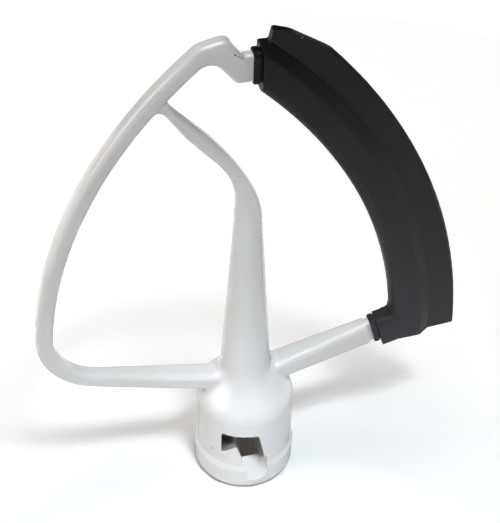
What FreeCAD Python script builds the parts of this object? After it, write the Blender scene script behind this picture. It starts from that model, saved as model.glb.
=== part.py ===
import FreeCAD, Part
import math
import os

import Sketcher

# A flat beater for a stand mixer, standing on the mouth of its hub: one white-coated casting
# (hub, post, bow, two arms and a hidden rail) and one dark flexible edge moulded round the rail.
# Millimetres and degrees, +Z up from the mouth, +X towards the flexible edge. The bayonet slot
# faces -Y. Angles about an arc's centre are measured from +X towards +Z.
SIZES = {
    # Hub, turned about Z
    "hub_radius": 16.25,
    "hub_height": 34.0,
    "hub_shoulder_round": 8.0,
    "collar_radius": 16.85,
    "collar_height": 9.0,
    "collar_step": 2.4,
    "collar_round": 2.0,
    "mouth_round": 2.6,
    # Post: a cone on the hub's shoulder, then a branch that leans over to the bow
    "post_base_radius": 8.5,
    "post_base_rise": 8.5,
    "post_base_round": 14.0,
    "post_top_radius": 4.25,
    "post_length": 65.0,
    "branch_bend_radius": 38.0,
    "branch_lean": 39.3,
    "branch_taper_angle": 25.0,
    "branch_width": 4.5,
    "branch_depth": 4.7,
    # Bow: a rounded bar along one large arc and one corner arc, down to the left arm
    "bow_centre_x": 75.7,
    "bow_centre_z": 58.8,
    "bow_radius": 140.3,
    "bow_top_angle": 132.0,
    "bow_corner_radius": 19.8,
    "bow_width": 5.3,
    "bow_depth": 5.4,
    "bar_round": 1.7,
    # Arms, both from one point of the hub's axis
    "arm_root_rise": 4.2,
    "left_arm_rise": 14.2,
    "left_root_width": 6.4,
    "left_root_depth": 8.2,
    "right_arm_rise": 15.5,
    "right_root_width": 6.4,
    "right_root_depth": 9.4,
    "right_end_width": 9.0,
    "right_end_depth": 5.6,
    "right_arm_length": 43.0,
    "junction_fillet": 2.4,
    "branch_fillet": 2.6,
    # Tip of the bow, a hooked block
    "tip_crest_rise": 6.1,
    "tip_crest_tilt": 1.9,
    "tip_crest_round": 3.5,
    "tip_length": 17.8,
    "tip_slope_run": 4.8,
    "tip_slope_drop": 6.4,
    "tip_height": 14.4,
    "tip_foot_length": 2.4,
    "tip_foot_round": 2.2,
    "tip_hook_run": 6.4,
    "tip_hook_round": 4.0,
    # Rail and necks, gripped by the flexible edge
    "rail_radius": 159.5,
    "rail_width": 7.0,
    "rail_depth": 3.3,
    "rail_round": 0.9,
    "neck_width": 8.8,
    "lower_neck_length": 15.2,
    "upper_neck_length": 6.4,
    "upper_neck_drop": 10.4,
    # Bayonet: bore, keyway and J-shaped slot for the cross pin of the drive shaft
    "bore_radius": 6.4,
    "bore_depth": 29.0,
    "keyway_centre_x": -0.7,
    "keyway_width": 6.0,
    "keyway_reach": 11.2,
    "slot_ceiling": 26.0,
    "slot_left_x": -11.0,
    "slot_right_x": 3.7,
    "slot_seat_height": 15.7,
    "slot_nose_x": -6.3,
    "slot_nose_height": 20.4,
    "slot_lead": 2.9,
    "slot_round": 1.5,
    "slot_nose_round": 0.5,
    "slot_lip_height": 10.8,
    "chute_rim_height": 4.4,
    "chute_flare_left": 0.7,
    "chute_flare_right": 2.3,
    "chute_top_height": 14.2,
    "chute_round": 2.9,
    # Flexible edge: a body round the rail, with a thin blade on its outer side
    "edge_inner": 6.8,
    "edge_outer": 6.25,
    "edge_depth": 7.6,
    "edge_inner_round": 2.8,
    "edge_bevel": 3.5,
    "edge_bevel_round": 2.0,
    "edge_low_reach": 6.9,
    "edge_set_back": 4.6,
    "edge_top_cover": 1.8,
    "blade_shift_x": -8.5,
    "blade_shift_z": -5.3,
    "blade_reach": 24.45,
    "blade_root_thickness": 3.0,
    "blade_tip_thickness": 1.8,
    "blade_tip_round": 0.8,
    "blade_set_back": 3.2,
    "blade_top_rise": 5.3,
    "blade_top_run": 5.0,
    "blade_top_slope": 17.0,
    "blade_corner_slope": 32.0,
    "blade_corner_round": 8.0,
    "blade_notch_run": 0.9,
    "blade_notch_rise": 0.8,
    "blade_notch_round": 1.5,
    # Foot on the right arm, and a lip round the neck at each end
    "foot_gap": 3.8,
    "foot_width": 12.6,
    "foot_drop": 1.1,
    "foot_fillet": 1.3,
    "lip_wall": 0.9,
    "lip_length": 1.7,
    "lip_round": 1.6,
    "lip_rim_round": 0.5,
    "groove_wall": 0.5,
    "groove_length": 0.55,
}
OVERSHOOT = 1.0  # how far a cut or an overlap runs past the face that it meets
TRIM_ROOM = 40.0  # how far a trim reaches past the piece that it trims
SPARE_ANGLE = 4.0  # how far the flexible edge is turned past its two ends, before the trims
BRANCH_ROUND = 0.46  # corner round of the branch's section, as a share of its width
NEAR = 1e-4  # how close two points are before they count as one

doc = FreeCAD.newDocument("flat_beater")
sheet = doc.addObject("Spreadsheet::Sheet", "Sizes")
written = []


def write(name, text):
    """Puts a named value on the next row of the sheet."""
    written.append(name)
    row = len(written)
    sheet.set(f"A{row}", name)
    sheet.set(f"B{row}", text)
    sheet.setAlias(f"B{row}", name)


for name, number in SIZES.items():
    write(name, str(number))


class Size:
    """A number together with the spreadsheet formula that gives it."""

    def __init__(self, number, formula):
        self.number = number
        self.formula = formula

    def __add__(self, other):
        other = as_size(other)
        return Size(self.number + other.number, f"({self.formula} + {other.formula})")

    def __sub__(self, other):
        other = as_size(other)
        return Size(self.number - other.number, f"({self.formula} - {other.formula})")

    def __mul__(self, other):
        other = as_size(other)
        return Size(self.number * other.number, f"({self.formula} * {other.formula})")

    def __truediv__(self, other):
        other = as_size(other)
        return Size(self.number / other.number, f"({self.formula} / {other.formula})")

    def __neg__(self):
        return self * -1

    def __rsub__(self, other):
        return as_size(other) - self

    __radd__ = __add__
    __rmul__ = __mul__


def as_size(value):
    return value if isinstance(value, Size) else Size(float(value), f"({float(value)})")


def sin(angle):
    return Size(math.sin(math.radians(angle.number)), f"sin({angle.formula} * 1 deg)")


def cos(angle):
    return Size(math.cos(math.radians(angle.number)), f"cos({angle.formula} * 1 deg)")


def angle_of(x, z):
    degrees = math.degrees(math.atan2(z.number, x.number))
    return Size(degrees, f"(atan2({z.formula}; {x.formula}) / 1 deg)")


def root(value):
    return Size(math.sqrt(value.number), f"sqrt({value.formula})")


class Sheet:
    """The driving dimensions by name, as sizes."""

    def __getattr__(self, name):
        return Size(SIZES[name], f"Sizes.{name}")


size = Sheet()


def derived(name, value):
    """Keeps a worked-out value in the sheet under its own name, with its formula."""
    write(name, "=" + value.formula.replace("Sizes.", ""))
    return Size(value.number, f"Sizes.{name}")


def derived_point(name, point):
    return derived(f"{name}_x", point[0]), derived(f"{name}_z", point[1])


def bind(feature, path, value):
    feature.setExpression(path, as_size(value).formula)


def degrees_along(length, radius):
    """The angle that a length takes up along an arc."""
    return length / radius * math.degrees(1)


def polar(centre, radius, angle):
    """A point (x, z) at an angle on a circle."""
    return centre[0] + radius * cos(angle), centre[1] + radius * sin(angle)


def sketch_on(body, name, plane, base=(0, 0, 0), axis=(0, 0, 1), angle=None):
    """An empty sketch on one of the body's own planes, moved by base and turned about axis."""
    sketch = body.newObject("Sketcher::SketchObject", name)
    support = next(feature for feature in body.Origin.OriginFeatures if feature.Role == plane)
    sketch.AttachmentSupport = (support, "")
    sketch.MapMode = "FlatFace"
    base = [as_size(value) for value in base]
    turn = FreeCAD.Rotation(FreeCAD.Vector(*axis), angle.number if angle else 0)
    sketch.AttachmentOffset = FreeCAD.Placement(FreeCAD.Vector(*[value.number for value in base]), turn)
    for letter, value in zip("xyz", base):
        bind(sketch, f"AttachmentOffset.Base.{letter}", value)
    if angle:
        bind(sketch, "AttachmentOffset.Rotation.Angle", angle)
    return sketch


def outline(sketch, corners):
    """Draws a closed outline through corners (u, v, round). Each corner is held by its two
    distances from the sketch's origin and by its round, all bound to their formulas."""
    corners = [[as_size(value) for value in corner] for corner in corners]
    points = [FreeCAD.Vector(u.number, v.number, 0) for u, v, _ in corners]
    starts, ends, arcs = [], [], []
    for here, point in enumerate(points):
        back = (points[here - 1] - point).normalize()
        ahead = (points[(here + 1) % len(points)] - point).normalize()
        radius = corners[here][2].number
        half = back.getAngle(ahead) / 2
        run = radius / math.tan(half)
        starts.append(point + back * run)
        ends.append(point + ahead * run)
        centre = point + (back + ahead).normalize() * (radius / math.sin(half))
        leftward = ahead.cross(back).z > 0
        arcs.append((centre, radius, leftward))
    held = []
    for here, (u, v, radius) in enumerate(corners):
        line = sketch.addGeometry(Part.LineSegment(ends[here - 1], starts[here]), False)
        held.append({"line": line, "u": u, "v": v, "round": radius})
    rules, names = [], []
    for here, corner in enumerate(held):
        after = held[(here + 1) % len(held)]["line"]
        centre, radius, leftward = arcs[here]
        if radius > 0:
            arms = (starts[here] - centre, ends[here] - centre)
            first, last = arms if leftward else arms[::-1]
            angles = [math.atan2(arm.y, arm.x) for arm in (first, last)]
            circle = Part.Circle(centre, FreeCAD.Vector(0, 0, 1), radius)
            arc = sketch.addGeometry(Part.ArcOfCircle(circle, *angles), False)
            near, far = (1, 2) if leftward else (2, 1)
            apex = sketch.addGeometry(Part.Point(points[here]), True)
            rules += [
                Sketcher.Constraint("Tangent", corner["line"], 2, arc, near),
                Sketcher.Constraint("Tangent", arc, far, after, 1),
                Sketcher.Constraint("PointOnObject", apex, 1, corner["line"]),
                Sketcher.Constraint("PointOnObject", apex, 1, after),
                Sketcher.Constraint("Radius", arc, radius),
            ]
            names.append((len(rules) - 1, f"round{here}", corner["round"]))
        else:
            rules.append(Sketcher.Constraint("Coincident", corner["line"], 2, after, 1))
            apex = after
        for kind, value in (("DistanceX", corner["u"]), ("DistanceY", corner["v"])):
            rules.append(Sketcher.Constraint(kind, -1, 1, apex, 1, value.number))
            names.append((len(rules) - 1, f"{kind}{here}", value))
    sketch.addConstraint(rules)
    for index, name, value in names:
        sketch.renameConstraint(index, name)
        bind(sketch, f"Constraints.{name}", value)


def bar(sketch, across_u, across_v, radius, u=0, v=0):
    """A rounded rectangle about the point (u, v)."""
    signs = ((-1, -1), (1, -1), (1, 1), (-1, 1))
    outline(sketch, [(u + across_u * (a / 2), v + across_v * (b / 2), radius) for a, b in signs])


def turned(body, name, centre, start, sweep, corners):
    """Turns an outline of (radius, y, round) corners about the Y line through centre."""
    sketch = sketch_on(body, name + "_section", "XY_Plane", (centre[0], 0, centre[1]), (0, -1, 0), start)
    outline(sketch, corners)
    turn = body.newObject("PartDesign::Revolution", name)
    turn.Profile = sketch
    turn.ReferenceAxis = (sketch, ["V_Axis"])
    turn.Reversed = True
    turn.Angle = sweep.number
    bind(turn, "Angle", sweep)
    return turn


def bar_corners(radius, width, depth, rounding):
    """Corners of a bar's section for turned, at a radius of its centre line."""
    signs = ((-1, -1), (1, -1), (1, 1), (-1, 1))
    return [(radius + width * (a / 2), depth * (b / 2), rounding) for a, b in signs]


def extruded(body, kind, name, sketch, length, both_ways=False, reverse=False):
    """A Pad or a Pocket of a sketch."""
    feature = body.newObject(f"PartDesign::{kind}", name)
    feature.Profile = sketch
    feature.Midplane = both_ways
    feature.Reversed = reverse
    feature.Length = as_size(length).number
    bind(feature, "Length", length)
    return feature


def lofted(body, kind, name, sections, ruled=True):
    feature = body.newObject(f"PartDesign::{kind}", name)
    feature.Profile = sections[0]
    feature.Sections = sections[1:]
    feature.Ruled = ruled
    return feature


def filleted(body, name, base, radius, wanted):
    """Rounds those edges of a feature that the test wanted picks."""
    doc.recompute()
    picked = [f"Edge{i}" for i, edge in enumerate(base.Shape.Edges, start=1) if wanted(edge)]
    feature = body.newObject("PartDesign::Fillet", name)
    feature.Base = (base, picked)
    feature.Radius = radius.number
    bind(feature, "Radius", radius)
    return feature


def run_to(start, ahead, centre, radius):
    """How far a straight run from start (x, z) goes before it leaves a circle."""
    gap = (start[0] - centre[0], start[1] - centre[1])
    toward = gap[0] * ahead[0] + gap[1] * ahead[1]
    return root(toward * toward - gap[0] * gap[0] - gap[1] * gap[1] + radius * radius) - toward


# Where the pieces stand: the tip is placed by the end of the bow, the post and the arms by the hub.
half_bow = size.bow_width / 2
bow_centre = (size.bow_centre_x, size.bow_centre_z)
top_outer = derived_point("bow_top_outer", polar(bow_centre, size.bow_radius + half_bow, size.bow_top_angle))
top_inner = derived_point("bow_top_inner", polar(bow_centre, size.bow_radius - half_bow, size.bow_top_angle))
crest_height = derived("tip_crest_height", top_outer[1] + size.tip_crest_rise)
tip_face_x = derived("tip_face_x", top_outer[0] + size.tip_length)
neck_height = derived("upper_neck_height", crest_height - size.upper_neck_drop)
arm_root_height = derived("arm_root_height", size.hub_height + size.arm_root_rise)
post_base_height = derived("post_base_height", size.hub_height + size.post_base_rise)
post_top_height = derived("post_top_height", post_base_height + size.post_length)
left_ahead = (-cos(size.left_arm_rise), sin(size.left_arm_rise))
right_ahead = (cos(size.right_arm_rise), sin(size.right_arm_rise))

# The bow's corner arc touches both the large arc and the line of the left arm.
above_root = (
    size.bow_corner_radius * left_ahead[1],
    arm_root_height - size.bow_corner_radius * left_ahead[0],
)
corner_along = derived("corner_along", run_to(
    above_root, left_ahead, bow_centre, size.bow_radius - size.bow_corner_radius))
corner_centre = derived_point("corner_centre", (
    above_root[0] + corner_along * left_ahead[0],
    above_root[1] + corner_along * left_ahead[1],
))
corner_angle = derived("corner_angle", 180 + angle_of(
    bow_centre[0] - corner_centre[0], bow_centre[1] - corner_centre[1]))

# The branch leaves the post along a bend and then runs straight into the bow.
bend_centre = (-size.branch_bend_radius, post_top_height)
bend_end = derived_point("bend_end", polar(bend_centre, size.branch_bend_radius, size.branch_lean))
branch_ahead = (-sin(size.branch_lean), cos(size.branch_lean))
branch_run = derived("branch_run", run_to(bend_end, branch_ahead, bow_centre, size.bow_radius))

# The rail's arc runs from the end of the lower neck to the end of the upper one.
arm_reach = derived("arm_reach", size.right_arm_length + size.lower_neck_length)
rail_low = derived_point("rail_low", (
    right_ahead[0] * arm_reach,
    arm_root_height + right_ahead[1] * arm_reach,
))
rail_top = derived_point("rail_top", (tip_face_x + size.upper_neck_length, neck_height))
chord = (rail_top[0] - rail_low[0], rail_top[1] - rail_low[1])
chord_length = derived("rail_chord", root(chord[0] * chord[0] + chord[1] * chord[1]))
centre_share = root(size.rail_radius * size.rail_radius - chord_length * chord_length / 4) / chord_length
rail_centre = derived_point("rail_centre", (
    (rail_low[0] + rail_top[0]) / 2 - chord[1] * centre_share,
    (rail_low[1] + rail_top[1]) / 2 + chord[0] * centre_share,
))
low_angle = derived("rail_low_angle", angle_of(rail_low[0] - rail_centre[0], rail_low[1] - rail_centre[1]))
top_angle = derived("rail_top_angle", angle_of(rail_top[0] - rail_centre[0], rail_top[1] - rail_centre[1]))

# The flexible edge ends short of the tip, and its foot short of the right arm.
inner = size.rail_radius - size.edge_inner
edge_top_x = derived("edge_top_x", tip_face_x + size.edge_set_back)
edge_top_height = derived("edge_top_height", neck_height + size.neck_width / 2 + size.edge_top_cover)
foot_start = derived("foot_start", size.right_arm_length + size.foot_gap)
foot_top = size.foot_width / 2 - size.foot_drop
over_root = (-right_ahead[1] * foot_top, arm_root_height + right_ahead[0] * foot_top)
hollow_run = derived("foot_hollow_run", run_to(over_root, right_ahead, rail_centre, inner))
doc.recompute()


def across_arm(body, name, side, along):
    """A sketch square to an arm, at a distance along it: u is Y, v is up across the arm."""
    rise = size.right_arm_rise if side > 0 else size.left_arm_rise
    base = (0, arm_root_height + sin(rise) * along, cos(rise) * along * side)
    return sketch_on(body, name, "YZ_Plane", base, (-side, 0, 0), rise)


# The casting. Its first feature is the bow's hooked tip, so that only its own rims are rounded.
frame = doc.addObject("PartDesign::Body", "cast_frame")
frame.Label = "cast_frame"
heading = (sin(size.bow_top_angle), -cos(size.bow_top_angle))
climb = (size.tip_crest_rise - size.tip_crest_tilt) / heading[1]
foot_height = crest_height - size.tip_height
tip_sketch = sketch_on(frame, "tip_outline", "XZ_Plane")
outline(tip_sketch, [
    (*top_outer, 0),
    (top_outer[0] + heading[0] * climb, crest_height - size.tip_crest_tilt, size.tip_crest_round * 2),
    (tip_face_x - size.tip_slope_run, crest_height, size.tip_crest_round),
    (tip_face_x, crest_height - size.tip_slope_drop, 0),
    (tip_face_x, foot_height, 0),
    (tip_face_x - size.tip_foot_length, foot_height, size.tip_foot_round),
    (top_inner[0] + heading[0] * size.tip_hook_run, top_inner[1] + heading[1] * size.tip_hook_run,
     size.tip_hook_round),
    (*top_inner, 0),
])
tip = extruded(frame, "Pad", "tip", tip_sketch, size.bow_depth, both_ways=True)


def on_tip_rim(edge):
    """On the front or back rim of the tip, but neither on its neck face nor where the bow starts."""
    ends = [vertex.Point for vertex in edge.Vertexes]
    on_face = all(abs(abs(end.y) - SIZES["bow_depth"] / 2) < NEAR for end in ends)
    at_neck = all(abs(end.x - tip_face_x.number) < NEAR for end in ends)
    at_bow = all(end.x < top_inner[0].number + NEAR for end in ends)
    return on_face and not at_neck and not at_bow


filleted(frame, "tip_rims", tip, size.bar_round, on_tip_rim)

# Bow: the large arc from the tip, then the corner arc down to the left arm.
bow_bar = (size.bow_width, size.bow_depth, size.bar_round)
turned(frame, "bow", bow_centre, size.bow_top_angle, corner_angle - size.bow_top_angle,
       bar_corners(size.bow_radius, *bow_bar))
turned(frame, "bow_corner", corner_centre, corner_angle, 270 - size.left_arm_rise - corner_angle,
       bar_corners(size.bow_corner_radius, *bow_bar))

# Left arm: from the corner's section to a deeper one inside the post.
arm_start = size.post_base_radius / 2
left_end = across_arm(frame, "left_arm_end", -1, corner_along)
bar(left_end, size.bow_depth, size.bow_width, size.bar_round)
left_root = across_arm(frame, "left_arm_root", -1, arm_start)
bar(left_root, size.left_root_depth, size.left_root_width, size.bar_round)
lofted(frame, "AdditiveLoft", "left_arm", [left_end, left_root])

# Right arm: broad and low at the root, tall and narrow where the flexible edge begins.
right_root = across_arm(frame, "right_arm_root", 1, arm_start)
bar(right_root, size.right_root_depth, size.right_root_width, size.bar_round)
right_end = across_arm(frame, "right_arm_end", 1, size.right_arm_length)
bar(right_end, size.right_end_depth, size.right_end_width, size.bar_round)
lofted(frame, "AdditiveLoft", "right_arm", [right_root, right_end])

# Hub with its collar and shoulder, and the cone of the post, in one turning.
hub_sketch = sketch_on(frame, "hub_profile", "XZ_Plane")
outline(hub_sketch, [
    (0, 0, 0),
    (size.collar_radius, 0, size.mouth_round),
    (size.collar_radius, size.collar_height, size.collar_round),
    (size.hub_radius, size.collar_height + size.collar_step, size.collar_round),
    (size.hub_radius, size.hub_height, size.hub_shoulder_round),
    (size.post_base_radius, post_base_height, size.post_base_round),
    (size.post_top_radius, post_top_height, 0),
    (0, post_top_height, 0),
])
hub = frame.newObject("PartDesign::Revolution", "hub")
hub.Profile = hub_sketch
hub.ReferenceAxis = (hub_sketch, ["V_Axis"])
hub.Angle = 360

# Branch: bends over to the left off the top of the post, narrows on the way and runs into the bow.
def along_branch(share):
    """A point (x, z) on the straight run of the branch, as a share of the way to the bow."""
    run = branch_run * share
    return bend_end[0] + branch_ahead[0] * run, bend_end[1] + branch_ahead[1] * run


branch_far = along_branch(1)
half_taper = size.branch_taper_angle / 2
post_top = size.post_top_radius * 2


def branch_section(name, point, lean, share):
    """A section square to the branch, between the post's size (share 0) and the branch's (share 1)."""
    sketch = sketch_on(frame, name, "XY_Plane", (point[0], 0, point[1]), (0, -1, 0), lean)
    width = post_top + (size.branch_width - post_top) * share
    depth = post_top + (size.branch_depth - post_top) * share
    bar(sketch, width, depth, width * BRANCH_ROUND)
    return sketch


lofted(frame, "AdditiveLoft", "branch", [
    branch_section("branch_start", (0, post_top_height), None, 0),
    branch_section("branch_taper", polar(bend_centre, size.branch_bend_radius, half_taper), half_taper, 0.5),
    branch_section("branch_slim", polar(bend_centre, size.branch_bend_radius, size.branch_taper_angle),
                   size.branch_taper_angle, 1),
    branch_section("branch_bend_end", bend_end, size.branch_lean, 1),
    branch_section("branch_middle", along_branch(0.5), size.branch_lean, 1),
    branch_section("branch_end", branch_far, size.branch_lean, 1),
], ruled=False)

# Rail inside the flexible edge, with a neck at each end of it.
overrun = degrees_along(size.rail_width / 4, size.rail_radius)
turned(frame, "rail", rail_centre, low_angle - overrun, top_angle - low_angle + overrun * 2,
       bar_corners(size.rail_radius, size.rail_width, size.rail_depth, 0))
lower_neck = across_arm(frame, "lower_neck_section", 1, size.right_arm_length)
bar(lower_neck, size.rail_depth, size.neck_width, size.rail_round)
extruded(frame, "Pad", "lower_neck", lower_neck, size.lower_neck_length)
upper_neck = sketch_on(frame, "upper_neck_section", "YZ_Plane", (0, neck_height, tip_face_x))
bar(upper_neck, size.rail_depth, size.neck_width, size.rail_round)
necks = extruded(frame, "Pad", "upper_neck", upper_neck, size.upper_neck_length)


def at_hub(edge):
    """Where an arm meets the shoulder of the hub or the post."""
    middle = edge.CenterOfMass
    free = isinstance(edge.Curve, Part.BSplineCurve)
    arm_zone = post_base_height.number + SIZES["right_root_depth"] * 2
    return free and abs(middle.x) < SIZES["hub_radius"] and SIZES["hub_height"] < middle.z < arm_zone


def at_branch_end(edge):
    """Where the branch meets the bow."""
    middle = edge.CenterOfMass
    free = isinstance(edge.Curve, Part.BSplineCurve)
    away = math.hypot(middle.x - branch_far[0].number, middle.z - branch_far[1].number)
    return free and away < SIZES["bow_width"] * 2


arm_roots = filleted(frame, "arm_roots", necks, size.junction_fillet, at_hub)
filleted(frame, "branch_joint", arm_roots, size.branch_fillet, at_branch_end)

# Bayonet: a blind bore from the mouth, a keyway for the pin through the mouth ring, and a J-shaped
# slot in the front wall: the pin rises along the slanted lead, passes the nose and drops into the seat.
bore_sketch = sketch_on(frame, "bore_circle", "XY_Plane")
circle = Part.Circle(FreeCAD.Vector(0, 0, 0), FreeCAD.Vector(0, 0, 1), SIZES["bore_radius"])
bore_sketch.addGeometry(circle, False)
bore_sketch.addConstraint([
    Sketcher.Constraint("Coincident", 0, 3, -1, 1),
    Sketcher.Constraint("Radius", 0, SIZES["bore_radius"]),
])
bind(bore_sketch, "Constraints[1]", size.bore_radius)
extruded(frame, "Pocket", "bore", bore_sketch, size.bore_depth, reverse=True)

key_left = size.keyway_centre_x - size.keyway_width / 2
key_right = size.keyway_centre_x + size.keyway_width / 2
keyway_sketch = sketch_on(frame, "keyway_outline", "XY_Plane")
outline(keyway_sketch, [
    (key_left, 0, 0),
    (key_left, -size.keyway_reach, 0),
    (key_right, -size.keyway_reach, 0),
    (key_right, 0, 0),
])
extruded(frame, "Pocket", "keyway", keyway_sketch, size.slot_lip_height + OVERSHOOT, reverse=True)

slot_sketch = sketch_on(frame, "slot_outline", "XZ_Plane")
outline(slot_sketch, [
    (key_left, size.slot_lip_height, 0),
    (size.slot_right_x, size.slot_lip_height, size.slot_round),
    (size.slot_right_x - size.slot_lead, size.slot_ceiling, size.slot_round),
    (size.slot_left_x, size.slot_ceiling, size.slot_round / 2),
    (size.slot_left_x, size.slot_seat_height, size.slot_nose_round),
    (size.slot_nose_x, size.slot_nose_height, size.slot_nose_round),
])
slot_depth = size.collar_radius + OVERSHOOT
extruded(frame, "Pocket", "slot", slot_sketch, slot_depth, reverse=True)

# Chute: below the slot the mouth ring slopes down and outwards to a low rim.
chute_fall = (size.slot_lip_height - size.chute_rim_height) / (size.collar_radius - size.keyway_reach)


def chute_section(name, out, flare):
    """The chute's outline at a distance out from the hub's axis, with a share of its flare."""
    floor = size.slot_lip_height - chute_fall * (out - size.keyway_reach)
    left = key_left + size.chute_flare_left * flare
    right = key_right + size.chute_flare_right * flare
    sketch = sketch_on(frame, name, "XZ_Plane", (0, 0, out))
    outline(sketch, [
        (left, floor, size.chute_round / 4),
        (right, floor, size.chute_round),
        (right, size.chute_top_height, 0),
        (left, size.chute_top_height, 0),
    ])
    return sketch


lofted(frame, "SubtractiveLoft", "chute", [
    chute_section("chute_lip", size.keyway_reach, 0),
    chute_section("chute_rim", slot_depth, 1),
])

# The flexible edge is drawn whole and then cut by the casting that it is moulded round.
edge = doc.addObject("PartDesign::Body", "edge_moulding")
shoulder = size.rail_radius + size.edge_outer
half_depth = size.edge_depth / 2
half_root = size.blade_root_thickness / 2
edge_low_angle = low_angle - degrees_along(size.edge_low_reach, size.rail_radius)
edge_start = edge_low_angle - SPARE_ANGLE
edge_sweep = top_angle - edge_low_angle + SPARE_ANGLE * 2
turned(edge, "edge_body", rail_centre, edge_start, edge_sweep, [
    (inner, -half_depth, size.edge_inner_round),
    (shoulder - size.edge_bevel, -half_depth, size.edge_bevel_round),
    (shoulder, -half_root, 0),
    (shoulder, half_root, 0),
    (shoulder - size.edge_bevel, half_depth, size.edge_bevel_round),
    (inner, half_depth, size.edge_inner_round),
])

# Blade: turned about a point beyond the rail's centre, so that it is widest at its lower end.
blade_centre = (rail_centre[0] + size.blade_shift_x, rail_centre[1] + size.blade_shift_z)
blade_shift = root(size.blade_shift_x * size.blade_shift_x + size.blade_shift_z * size.blade_shift_z)
blade_root = shoulder + blade_shift / 2
blade_radius = size.rail_radius + size.blade_reach
half_tip = size.blade_tip_thickness / 2
turned(edge, "blade", blade_centre, edge_start, edge_sweep, [
    (blade_root, -half_root, 0),
    (blade_radius, -half_tip, size.blade_tip_round),
    (blade_radius, half_tip, size.blade_tip_round),
    (blade_root, half_root, 0),
])

# Lower end, trimmed square to the rail.
low_inner = polar(rail_centre, inner - TRIM_ROOM, edge_low_angle)
low_outer = polar(rail_centre, shoulder + TRIM_ROOM, edge_low_angle)
low_trim = sketch_on(edge, "low_trim_outline", "XZ_Plane")
outline(low_trim, [
    (*low_inner, 0),
    (low_inner[0], low_inner[1] - TRIM_ROOM, 0),
    (low_outer[0], low_inner[1] - TRIM_ROOM, 0),
    (*low_outer, 0),
])
extruded(edge, "Pocket", "low_trim", low_trim, size.edge_depth * 2, both_ways=True)

# Upper end, trimmed upright, with the blade set back from it and its outer corner eased.
blade_corner = (edge_top_x + size.blade_set_back, edge_top_height + size.blade_top_rise)
eased = (
    blade_corner[0] + size.blade_top_run * cos(size.blade_top_slope),
    blade_corner[1] - size.blade_top_run * sin(size.blade_top_slope),
)
clear_of_blade = (
    eased[0] + TRIM_ROOM * cos(size.blade_corner_slope),
    eased[1] - TRIM_ROOM * sin(size.blade_corner_slope),
)
top_trim = sketch_on(edge, "top_trim_outline", "XZ_Plane")
outline(top_trim, [
    (edge_top_x - TRIM_ROOM, foot_height - TRIM_ROOM, 0),
    (edge_top_x, foot_height - TRIM_ROOM, 0),
    (edge_top_x, edge_top_height, size.blade_notch_round / 2),
    (blade_corner[0] - size.blade_notch_run, edge_top_height + size.blade_notch_rise,
     size.blade_notch_round / 2),
    (*blade_corner, size.blade_notch_round / 2),
    (*eased, size.blade_corner_round),
    (*clear_of_blade, 0),
    (clear_of_blade[0], crest_height + TRIM_ROOM, 0),
    (edge_top_x - TRIM_ROOM, crest_height + TRIM_ROOM, 0),
])
extruded(edge, "Pocket", "top_trim", top_trim, size.edge_depth * 2, both_ways=True)

# Foot round the end of the right arm.
foot_sketch = across_arm(edge, "foot_section", 1, foot_start)
bar(foot_sketch, size.edge_depth, size.foot_width, size.edge_inner_round, v=-size.foot_drop)
foot = extruded(edge, "Pad", "foot", foot_sketch, arm_reach - foot_start)

# Web that rounds the hollow corner between the foot's top and the inner side of the edge.
hollow = (over_root[0] + right_ahead[0] * hollow_run, over_root[1] + right_ahead[1] * hollow_run)
upward = ((rail_centre[1] - hollow[1]) / inner, (hollow[0] - rail_centre[0]) / inner)
web_reach = size.foot_fillet * 2
web_sketch = sketch_on(edge, "foot_web_outline", "XZ_Plane")
outline(web_sketch, [
    (hollow[0] - right_ahead[0] * web_reach, hollow[1] - right_ahead[1] * web_reach, 0),
    (*hollow, size.foot_fillet),
    (hollow[0] + upward[0] * web_reach, hollow[1] + upward[1] * web_reach, 0),
    (hollow[0] + right_ahead[0] * OVERSHOOT, hollow[1] - upward[1] * OVERSHOOT, 0),
])
extruded(edge, "Pad", "foot_web", web_sketch, size.edge_depth - size.edge_inner_round, both_ways=True)


def lip(name, section_at, behind, across_face):
    """A bead round a neck with a rounded front rim, and a groove between it and what is behind it."""
    start = behind - size.groove_length - size.lip_length
    groove = section_at(f"{name}_groove_section", start)
    bar(groove, size.rail_depth + size.groove_wall * 2, size.neck_width + size.groove_wall * 2,
        size.rail_round + size.groove_wall)
    extruded(edge, "Pad", f"{name}_groove", groove, size.lip_length + size.groove_length + OVERSHOOT)
    bead = section_at(f"{name}_section", start)
    bar(bead, size.rail_depth + size.lip_wall * 2, size.neck_width + size.lip_wall * 2, size.lip_round)
    bead_pad = extruded(edge, "Pad", name, bead, size.lip_length)

    def on_front_rim(rim):
        return all(abs(across_face(vertex.Point) - start.number) < NEAR for vertex in rim.Vertexes)

    filleted(edge, f"{name}_rim", bead_pad, size.lip_rim_round, on_front_rim)


def along_right_arm(point):
    return point.x * right_ahead[0].number + (point.z - arm_root_height.number) * right_ahead[1].number


def across_right_arm(name, along):
    return across_arm(edge, name, 1, along)


def across_upper_neck(name, x):
    return sketch_on(edge, name, "YZ_Plane", (0, neck_height, x))


lip("lower_lip", across_right_arm, foot_start, along_right_arm)
lip("upper_lip", across_upper_neck, edge_top_x, lambda point: point.x)

flex_edge = doc.addObject("Part::Cut", "flex_edge")
flex_edge.Label = "flex_edge"
flex_edge.Base = edge
flex_edge.Tool = frame
doc.recompute()

for feature in doc.Objects:
    if "Invalid" in feature.State or "Error" in feature.State:
        raise RuntimeError(f"{feature.Name} did not build: {feature.State}")
os.makedirs("parts", exist_ok=True)
for node in (frame, flex_edge):
    if node.Shape.isNull() or not node.Shape.isValid() or len(node.Shape.Solids) != 1:
        raise RuntimeError(f"{node.Label} is not one valid solid")
    node.Shape.exportStep(f"parts/{node.Label}.step")
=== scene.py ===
import math

import bpy
from mathutils import Matrix, Vector

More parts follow.
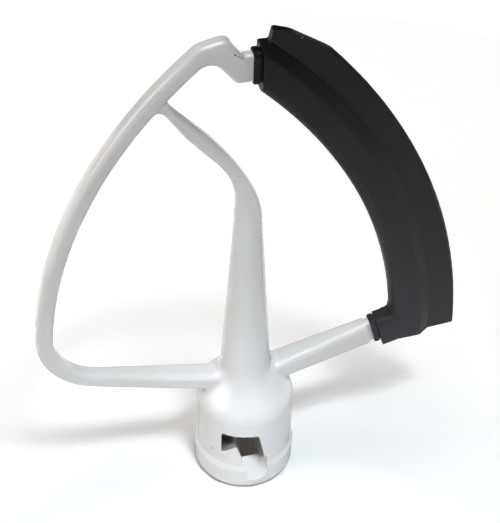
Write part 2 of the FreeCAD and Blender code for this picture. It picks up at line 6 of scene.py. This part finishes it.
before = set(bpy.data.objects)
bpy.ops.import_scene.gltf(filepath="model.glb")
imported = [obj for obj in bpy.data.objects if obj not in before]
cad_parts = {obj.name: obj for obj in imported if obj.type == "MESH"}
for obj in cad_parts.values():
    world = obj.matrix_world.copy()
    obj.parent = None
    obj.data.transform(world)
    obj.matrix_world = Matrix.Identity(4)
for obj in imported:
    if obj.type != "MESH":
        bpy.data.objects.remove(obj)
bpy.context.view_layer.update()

# Cast frame: one die casting in aluminium alloy, with a gloss white coat that is a little uneven and creamy.
# The coat is chipped at the tip and specked in a few places. The bore that takes the drive shaft and the seat
# of its pin are bare metal; the seat is also painted dark grey as painted shade in the slot.
MM = 0.001
COAT_WHITE = (0.80, 0.80, 0.815, 1.0)
COAT_CREAM = (0.74, 0.73, 0.715, 1.0)
BORE_METAL = (0.62, 0.60, 0.54, 1.0)
# Painted shade: the pin's seat is bare metal painted darker than the bore, for the dark in the slot.
SEAT_PAINTED_SHADE = (0.22, 0.22, 0.22, 1.0)
CHIP_DARK = (0.035, 0.03, 0.027, 1.0)
BARE_REACH = 11.2 * MM
BARE_TOP = 29.5 * MM
SEAT_REACH = 15.8 * MM
SEAT_RIGHT = -3.2 * MM
SEAT_LOW = 14.0 * MM
SOFT = 0.3 * MM
CHIP_RAGGED_SCALE = 2200.0
CHIP_RAGGED = 0.35 * MM
CHIP_CORE = 0.6
CHIPS = (
    ((-5.3, -2.65, 166.75), 0.36),
    ((0.33, -4.2, 109.0), 0.2),
    ((1.67, -4.25, 102.6), 0.22),
    ((-13.45, -9.1, 15.8), 0.34),
)
CRACK = ((-5.3, -2.65, 166.75), (-2.8, -2.3, 164.8))
CRACK_WIDTH = 0.11 * MM
CRACK_RAGGED = 0.3
CRACK_CORE = 0.4
COAT_GRAIN = {"Fine Scale": 520.0, "Tone Scale": 26.0}
COAT_FLECKS = {"Scale": 140.0, "Size": 0.02, "Share": 0.06}
COAT_ROUGH = 0.16
COAT_ROUGH_VARIES = 0.06
WORN_ROUGHER = 0.4
COAT_RIPPLE = 0.05
COAT_BUMP = {"Strength": 0.12, "Distance": 0.2 * MM}
CLEAR_ROUGH = 0.06
TONE_LOW = 0.35
TONE_HIGH = 0.68
MIX_FACTOR = 0
MIX_BELOW = 6
MIX_ABOVE = 7
MIX_COLOUR = 2


def node(tree, kind, inputs=None, **settings):
    """A new shader node; each input is a constant or the socket that feeds it."""
    made = tree.nodes.new(kind)
    for name, value in settings.items():
        setattr(made, name, value)
    for key, value in (inputs or {}).items():
        if isinstance(value, bpy.types.NodeSocket):
            tree.links.new(value, made.inputs[key])
        else:
            made.inputs[key].default_value = value
    return made


def sums(tree, operation, *values):
    """The output of a Math node that works on one to three values."""
    return node(tree, "ShaderNodeMath", dict(enumerate(values)), operation=operation).outputs[0]


def steps(tree, operation, *values):
    """The output of a Vector Math node; a distance, a length or a product is its second output."""
    made = node(tree, "ShaderNodeVectorMath", dict(enumerate(values)), operation=operation)
    return made.outputs[1] if operation in ("DISTANCE", "LENGTH", "DOT_PRODUCT") else made.outputs[0]


def ramp(tree, value, low, high):
    """0 below low, 1 above high, and smooth between them; low may be the larger."""
    inputs = {"Value": value, "From Min": low, "From Max": high}
    made = node(tree, "ShaderNodeMapRange", inputs, interpolation_type="SMOOTHSTEP")
    return made.outputs["Result"]


def blended(tree, mask, below, above):
    """One colour where the mask is 0, another where it is 1."""
    made = node(tree, "ShaderNodeMix", data_type="RGBA")
    for place, value in ((MIX_FACTOR, mask), (MIX_BELOW, below), (MIX_ABOVE, above)):
        if isinstance(value, bpy.types.NodeSocket):
            tree.links.new(value, made.inputs[place])
        else:
            made.inputs[place].default_value = value
    return made.outputs[MIX_COLOUR]


def new_group(name, inputs, outputs):
    """An empty shader group with float sockets, and its input and output nodes."""
    tree = bpy.data.node_groups.new(name, "ShaderNodeTree")
    for label, value in inputs.items():
        socket = tree.interface.new_socket(label, in_out="INPUT", socket_type="NodeSocketFloat")
        socket.default_value = value
    for label in outputs:
        tree.interface.new_socket(label, in_out="OUTPUT", socket_type="NodeSocketFloat")
    return tree, tree.nodes.new("NodeGroupInput"), tree.nodes.new("NodeGroupOutput")


def surface_grain():
    """Skin of a coated or moulded surface: a fine ripple for the bump, and a slow change of tone."""
    inputs = {"Fine Scale": 900.0, "Tone Scale": 30.0}
    tree, given, made = new_group("surface_grain", inputs, ("Height", "Tone"))
    place = node(tree, "ShaderNodeTexCoord").outputs["Object"]
    fine_scale, tone_scale = given.outputs["Fine Scale"], given.outputs["Tone Scale"]
    fine = node(tree, "ShaderNodeTexNoise", {"Vector": place, "Scale": fine_scale, "Detail": 3.0})
    slow = node(tree, "ShaderNodeTexNoise", {"Vector": place, "Scale": tone_scale, "Detail": 4.0})
    tree.links.new(fine.outputs["Fac"], made.inputs["Height"])
    tree.links.new(ramp(tree, slow.outputs["Fac"], TONE_LOW, TONE_HIGH), made.inputs["Tone"])
    return tree


def stray_flecks():
    """Dust and pinholes: small round flecks, thinned out so that only a share of the cells has one."""
    inputs = {"Scale": 300.0, "Size": 0.12, "Share": 0.1}
    tree, given, made = new_group("stray_flecks", inputs, ("Mask",))
    place = node(tree, "ShaderNodeTexCoord").outputs["Object"]
    cells = node(tree, "ShaderNodeTexVoronoi", {"Vector": place, "Scale": given.outputs["Scale"]})
    chosen = node(tree, "ShaderNodeSeparateColor", {"Color": cells.outputs["Color"]}).outputs["Red"]
    small = sums(tree, "LESS_THAN", cells.outputs["Distance"], given.outputs["Size"])
    kept = sums(tree, "LESS_THAN", chosen, given.outputs["Share"])
    tree.links.new(sums(tree, "MULTIPLY", small, kept), made.inputs["Mask"])
    return tree


GRAIN = surface_grain()
FLECKS = stray_flecks()


def grouped(tree, group, inputs):
    """A group node with its inputs; the group is set first, since it gives the node its sockets."""
    made = node(tree, "ShaderNodeGroup", node_tree=group)
    for name, value in inputs.items():
        made.inputs[name].default_value = value
    return made


def chipped(tree, place):
    """1 inside the chips and along the hairline crack, with ragged borders."""
    ragged = node(tree, "ShaderNodeTexNoise", {"Vector": place, "Scale": CHIP_RAGGED_SCALE, "Detail": 2.0})
    wobble = sums(tree, "MULTIPLY", sums(tree, "SUBTRACT", ragged.outputs["Fac"], 0.5), CHIP_RAGGED)
    mask = 0.0
    for centre, radius in CHIPS:
        away = steps(tree, "DISTANCE", place, [c * MM for c in centre])
        inside = ramp(tree, sums(tree, "ADD", away, wobble), radius * MM, CHIP_CORE * radius * MM)
        mask = sums(tree, "MAXIMUM", mask, inside)
    start, end = (Vector(point) * MM for point in CRACK)
    run = end - start
    reach = steps(tree, "DOT_PRODUCT", steps(tree, "SUBTRACT", place, start), run / run.length_squared)
    share = node(tree, "ShaderNodeClamp", {"Value": reach}).outputs[0]
    scaled = node(tree, "ShaderNodeVectorMath", {0: run, "Scale": share}, operation="SCALE").outputs[0]
    nearest = steps(tree, "ADD", scaled, start)
    shake = sums(tree, "MULTIPLY", wobble, CRACK_RAGGED)
    away = sums(tree, "ADD", steps(tree, "DISTANCE", place, nearest), shake)
    return sums(tree, "MAXIMUM", mask, ramp(tree, away, CRACK_WIDTH, CRACK_WIDTH * CRACK_CORE))


def bare_metal_and_seat_shade(tree, place):
    """Two masks: the bore, near the hub's axis and below its top, and the pin's seat, bare metal painted dark
    as shade.
    """
    split = node(tree, "ShaderNodeSeparateXYZ", {"Vector": place}).outputs
    across = node(tree, "ShaderNodeCombineXYZ", {"X": split["X"], "Y": split["Y"]}).outputs[0]
    away = steps(tree, "LENGTH", across)
    low = ramp(tree, split["Z"], BARE_TOP, BARE_TOP - SOFT)
    bore = sums(tree, "MULTIPLY", ramp(tree, away, BARE_REACH, BARE_REACH - SOFT), low)
    left = ramp(tree, split["X"], SEAT_RIGHT, SEAT_RIGHT - SOFT)
    high = ramp(tree, split["Z"], SEAT_LOW - SOFT, SEAT_LOW)
    near = ramp(tree, away, SEAT_REACH, SEAT_REACH - SOFT)
    seat_shade = sums(tree, "MULTIPLY", sums(tree, "MULTIPLY", left, high), near)
    return bore, sums(tree, "MULTIPLY", seat_shade, low)


def white_coat():
    """The casting's material: coat, flecks, chips, the bare metal inside the hub, and painted shade on the
    pin's seat.
    """
    material = bpy.data.materials.new("white_coat")
    material.use_nodes = True
    tree = material.node_tree
    shader = tree.nodes["Principled BSDF"]
    place = node(tree, "ShaderNodeTexCoord").outputs["Object"]
    grain = grouped(tree, GRAIN, COAT_GRAIN)
    flecks = grouped(tree, FLECKS, COAT_FLECKS)
    chips = chipped(tree, place)
    bore, seat_shade = bare_metal_and_seat_shade(tree, place)
    colour = blended(tree, grain.outputs["Tone"], COAT_WHITE, COAT_CREAM)
    colour = blended(tree, sums(tree, "MAXIMUM", chips, flecks.outputs["Mask"]), colour, CHIP_DARK)
    # Painted shade: the pin's seat is painted dark grey.
    colour = blended(tree, seat_shade, colour, SEAT_PAINTED_SHADE)
    colour = blended(tree, bore, colour, BORE_METAL)
    worn = sums(tree, "MAXIMUM", chips, sums(tree, "MAXIMUM", bore, seat_shade))
    gloss = sums(tree, "MULTIPLY_ADD", grain.outputs["Tone"], COAT_ROUGH_VARIES, COAT_ROUGH)
    rough = sums(tree, "MULTIPLY_ADD", worn, WORN_ROUGHER, gloss)
    height = sums(tree, "SUBTRACT", sums(tree, "MULTIPLY", grain.outputs["Height"], COAT_RIPPLE), chips)
    bump = node(tree, "ShaderNodeBump", {**COAT_BUMP, "Height": height})
    tree.links.new(colour, shader.inputs["Base Color"])
    tree.links.new(rough, shader.inputs["Roughness"])
    tree.links.new(bump.outputs["Normal"], shader.inputs["Normal"])
    shader.inputs["Coat Roughness"].default_value = CLEAR_ROUGH
    tree.links.new(sums(tree, "SUBTRACT", 1.0, worn), shader.inputs["Coat Weight"])
    return material


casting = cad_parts["cast_frame"]
casting.data.materials.clear()
casting.data.materials.append(white_coat())

# Flexible edge: a charcoal elastomer moulded round the casting's rail in one shot. Its skin is satin and
# finely textured, with a few specks of pale dust. Its colour has painted shade at the tip and painted light
# towards its foot, so it is greyer there.
# Painted shade and light: the edge is painted darker at the tip and greyer at the foot.
EDGE_CHARCOAL_SHADED = (0.0045, 0.0036, 0.0033, 1.0)
EDGE_CHARCOAL_LIT = (0.033, 0.032, 0.036, 1.0)
SHADED_FROM = 165.0 * MM
LIT_TO = 50.0 * MM
DUST_PALE = (0.22, 0.21, 0.20, 1.0)
EDGE_GRAIN = {"Fine Scale": 2600.0, "Tone Scale": 40.0}
EDGE_FLECKS = {"Scale": 220.0, "Size": 0.05, "Share": 0.05}
EDGE_PATCHY = 0.12
EDGE_ROUGH = 0.44
EDGE_ROUGH_VARIES = 0.1
EDGE_BUMP = {"Strength": 0.25, "Distance": 0.05 * MM}
EDGE_SPECULAR = 0.14


def moulded_charcoal():
    """The edge's material: satin elastomer, with painted shade at the tip and painted light down to the foot.
    """
    material = bpy.data.materials.new("flexible_edge")
    material.use_nodes = True
    tree = material.node_tree
    shader = tree.nodes["Principled BSDF"]
    place = node(tree, "ShaderNodeTexCoord").outputs["Object"]
    grain = grouped(tree, GRAIN, EDGE_GRAIN)
    flecks = grouped(tree, FLECKS, EDGE_FLECKS)
    height = node(tree, "ShaderNodeSeparateXYZ", {"Vector": place}).outputs["Z"]
    # Painted light by height: the colour runs from dark at the tip to greyer at the foot.
    lit_towards_foot = node(tree, "ShaderNodeMapRange", {"Value": height, "From Min": SHADED_FROM, "From Max": LIT_TO})
    patchy = sums(tree, "MULTIPLY_ADD", grain.outputs["Tone"], EDGE_PATCHY, -EDGE_PATCHY / 2)
    tone = sums(tree, "ADD", lit_towards_foot.outputs["Result"], patchy)
    colour = blended(tree, tone, EDGE_CHARCOAL_SHADED, EDGE_CHARCOAL_LIT)
    colour = blended(tree, flecks.outputs["Mask"], colour, DUST_PALE)
    rough = sums(tree, "MULTIPLY_ADD", grain.outputs["Tone"], EDGE_ROUGH_VARIES, EDGE_ROUGH)
    bump = node(tree, "ShaderNodeBump", {**EDGE_BUMP, "Height": grain.outputs["Height"]})
    tree.links.new(colour, shader.inputs["Base Color"])
    tree.links.new(rough, shader.inputs["Roughness"])
    tree.links.new(bump.outputs["Normal"], shader.inputs["Normal"])
    shader.inputs["Specular IOR Level"].default_value = EDGE_SPECULAR
    return material


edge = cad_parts["flex_edge"]
edge.data.materials.clear()
edge.data.materials.append(moulded_charcoal())

# Floor: a plain white sheet that the beater stands on. Where the lamps light it below white, a glow that only
# the camera and the reflections see makes up the rest, so it is white but for the beater's soft shadow.
FLOOR_HALF = 3.0
FLOOR_WHITE = (0.80, 0.80, 0.80, 1.0)
FLOOR_LEVEL = 1.02
FAR_LIGHT = 0.35
POOL_LIGHT = 1.40
POOL_CENTRE = (-0.02, -0.12, 0.0)
POOL_REACH = 140.0 * MM
SHADED_REACH = 13.0 * MM
SHADOW_REACH = 180.0 * MM
WHITE_REACH = 360.0 * MM
PURE_WHITE = (1.0, 1.0, 1.0, 1.0)


def seen_directly(tree):
    """1 for rays from the camera and in mirror-like reflections, 0 for rays that only light the object."""
    path = node(tree, "ShaderNodeLightPath").outputs
    glossy = sums(tree, "MAXIMUM", path["Is Camera Ray"], path["Is Glossy Ray"])
    return sums(tree, "MAXIMUM", glossy, path["Is Transmission Ray"])


def white_sheet():
    """The floor's material: a matt white, and the glow that the lamps leave to be made up."""
    material = bpy.data.materials.new("white_sheet")
    material.use_nodes = True
    tree = material.node_tree
    tree.nodes.remove(tree.nodes["Principled BSDF"])
    place = node(tree, "ShaderNodeTexCoord").outputs["Object"]
    matt = node(tree, "ShaderNodeBsdfDiffuse", {"Color": FLOOR_WHITE})
    away = steps(tree, "LENGTH", place)
    open_floor = ramp(tree, away, SHADED_REACH, SHADED_REACH + MM)
    beyond = ramp(tree, away, SHADOW_REACH, WHITE_REACH)
    pool_away = sums(tree, "DIVIDE", steps(tree, "DISTANCE", place, POOL_CENTRE), POOL_REACH)
    pool_square = sums(tree, "MULTIPLY", pool_away, pool_away)
    fading = sums(tree, "EXPONENT", sums(tree, "MULTIPLY", pool_square, -1.0))
    unlit = sums(tree, "MULTIPLY_ADD", fading, -POOL_LIGHT, FLOOR_LEVEL - FAR_LIGHT)
    level = sums(tree, "MAXIMUM", sums(tree, "MAXIMUM", unlit, 0.0), beyond)
    strength = sums(tree, "MULTIPLY", sums(tree, "MULTIPLY", seen_directly(tree), open_floor), level)
    glow = node(tree, "ShaderNodeEmission", {"Color": PURE_WHITE, "Strength": strength})
    both = node(tree, "ShaderNodeAddShader", {0: matt.outputs[0], 1: glow.outputs[0]})
    tree.links.new(both.outputs[0], tree.nodes["Material Output"].inputs["Surface"])
    return material


floor_mesh = bpy.data.meshes.new("floor")
corners = [(x * FLOOR_HALF, y * FLOOR_HALF, 0.0) for x, y in ((-1, -1), (1, -1), (1, 1), (-1, 1))]
floor_mesh.from_pydata(corners, [], [(0, 1, 2, 3)])
floor_mesh.materials.append(white_sheet())
floor = bpy.data.objects.new("floor", floor_mesh)
bpy.context.scene.collection.objects.link(floor)

# Light: a soft panel overhead, a hooded panel turned to the hub, a warm lamp on the left, a small one in
# front, light off the sheet, and the room's. Each panel has its name, its place, the point it faces, its
# sides, its spread in degrees, its watts and its colour.
PANELS = (
    ("overhead", (-0.1, 0.1, 1.0), (0.0, 0.0, 0.08), (0.55, 0.55), 180.0, 3.8, (1.0, 0.965, 0.93)),
    ("hooded_panel", (0.05, -0.30, 0.70), (-0.02, -0.13, 0.0), (0.18, 0.12), 32.0, 0.36, (0.87, 0.945, 1.0)),
    ("left_lamp", (-0.6, -0.1, 0.3), (0.0, 0.0, 0.08), (0.4, 0.4), 180.0, 1.3, (1.0, 0.94, 0.86)),
    ("front_lamp", (0.12, -0.38, 0.14), (0.0, 0.0, 0.04), (0.08, 0.08), 180.0, 0.07, (1.0, 0.98, 0.96)),
    ("sheet_pool", (0.0, 0.0, 0.0005), (0.0, 0.0, 1.0), (0.3, 0.3), 180.0, 0.056, (0.95, 0.97, 1.0)),
)
ROOM_LIGHT = (1.0, 0.96, 0.92, 1.0)
ROOM_STRENGTH = 0.045

for name, position, target, sides, spread, watts, colour in PANELS:
    panel = bpy.data.lights.new(name, "AREA")
    panel.shape = "RECTANGLE"
    panel.size, panel.size_y = sides
    panel.spread = math.radians(spread)
    panel.energy = watts
    panel.color = colour
    lamp = bpy.data.objects.new(name, panel)
    lamp.location = position
    lamp.rotation_euler = (Vector(target) - Vector(position)).to_track_quat("-Z", "Y").to_euler()
    lamp.visible_camera = False
    bpy.context.scene.collection.objects.link(lamp)
bpy.data.objects["sheet_pool"].visible_glossy = False

room = bpy.data.worlds.new("room")
room.use_nodes = True
room_tree = room.node_tree
room_light = room_tree.nodes["Background"]
room_light.inputs["Color"].default_value = ROOM_LIGHT
room_light.inputs["Strength"].default_value = ROOM_STRENGTH
backdrop = node(room_tree, "ShaderNodeBackground", {"Color": PURE_WHITE, "Strength": 1.0})
sky = node(room_tree, "ShaderNodeMixShader", {
    0: node(room_tree, "ShaderNodeLightPath").outputs["Is Camera Ray"],
    1: room_light.outputs[0],
    2: backdrop.outputs[0],
})
room_tree.links.new(sky.outputs[0], room_tree.nodes["World Output"].inputs["Surface"])
bpy.context.scene.world = room

# Camera: above and to the left of the slot, as in the photograph, rolled a little. The shift puts the
# picture's axis where the photograph has it.
IMAGE_WIDTH = 500
IMAGE_HEIGHT = 523
FOCAL_PIXELS = 1360.0
AXIS_PIXEL = (247.0, 272.0)
SENSOR_WIDTH = 36.0
CLIP_START = 0.01
LOOKED_AT = Vector((0.0, 0.0, 0.085))
CAMERA_AWAY = 0.419
CAMERA_AZIMUTH = math.radians(-15.7)
CAMERA_ELEVATION = math.radians(42.6)
CAMERA_ROLL = math.radians(1.2)

back = Vector((
    math.sin(CAMERA_AZIMUTH) * math.cos(CAMERA_ELEVATION),
    -math.cos(CAMERA_AZIMUTH) * math.cos(CAMERA_ELEVATION),
    math.sin(CAMERA_ELEVATION),
))
level = Vector((0.0, 0.0, 1.0)).cross(back).normalized()
upright = back.cross(level)
right = math.cos(CAMERA_ROLL) * level + math.sin(CAMERA_ROLL) * upright
up = math.cos(CAMERA_ROLL) * upright - math.sin(CAMERA_ROLL) * level
lens = bpy.data.cameras.new("camera")
lens.sensor_fit = "HORIZONTAL"
lens.sensor_width = SENSOR_WIDTH
lens.lens = FOCAL_PIXELS / IMAGE_WIDTH * SENSOR_WIDTH
lens.shift_x = (IMAGE_WIDTH / 2 - AXIS_PIXEL[0]) / IMAGE_WIDTH
lens.shift_y = (AXIS_PIXEL[1] - IMAGE_HEIGHT / 2) / IMAGE_WIDTH
lens.clip_start = CLIP_START
camera = bpy.data.objects.new("camera", lens)
turn = Matrix((right, up, back)).transposed().to_4x4()
camera.matrix_world = Matrix.Translation(LOOKED_AT + back * CAMERA_AWAY) @ turn
bpy.context.scene.collection.objects.link(camera)
bpy.context.scene.camera = camera
bpy.context.scene.view_settings.view_transform = "Standard"
